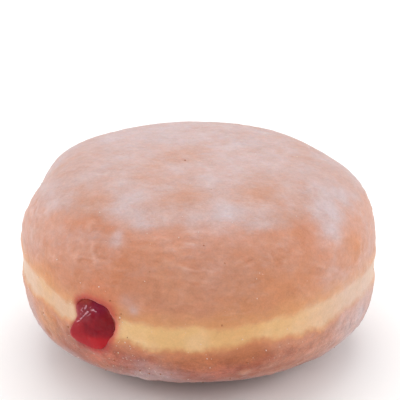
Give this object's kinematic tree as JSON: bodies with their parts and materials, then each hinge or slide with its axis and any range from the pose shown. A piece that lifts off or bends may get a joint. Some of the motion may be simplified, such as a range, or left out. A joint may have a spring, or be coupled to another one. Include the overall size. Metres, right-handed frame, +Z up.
{
  "type": "jelly filled doughnut",
  "caption": "Plump round filled doughnut with a pale waist line and jelly showing in a mouth in its side; rests on its flat underside.",
  "frame": {"origin": "middle of the flat spot under the doughnut, on the surface it rests on", "axes": "+Z up through the crown; -Y is the front, and the jelly's mouth faces between -X and -Y"},
  "size_m": [0.0917, 0.0923, 0.052],
  "materials": {
    "fried_crust": "golden brown fried yeast dough under a thin dried sugar glaze, matt to satin",
    "fruit_jelly": "wet glossy dark red fruit jelly"
  },
  "bodies": {
    "root": {"dough": "fried_crust", "jelly": "fruit_jelly"}
  },
  "joints": []
}
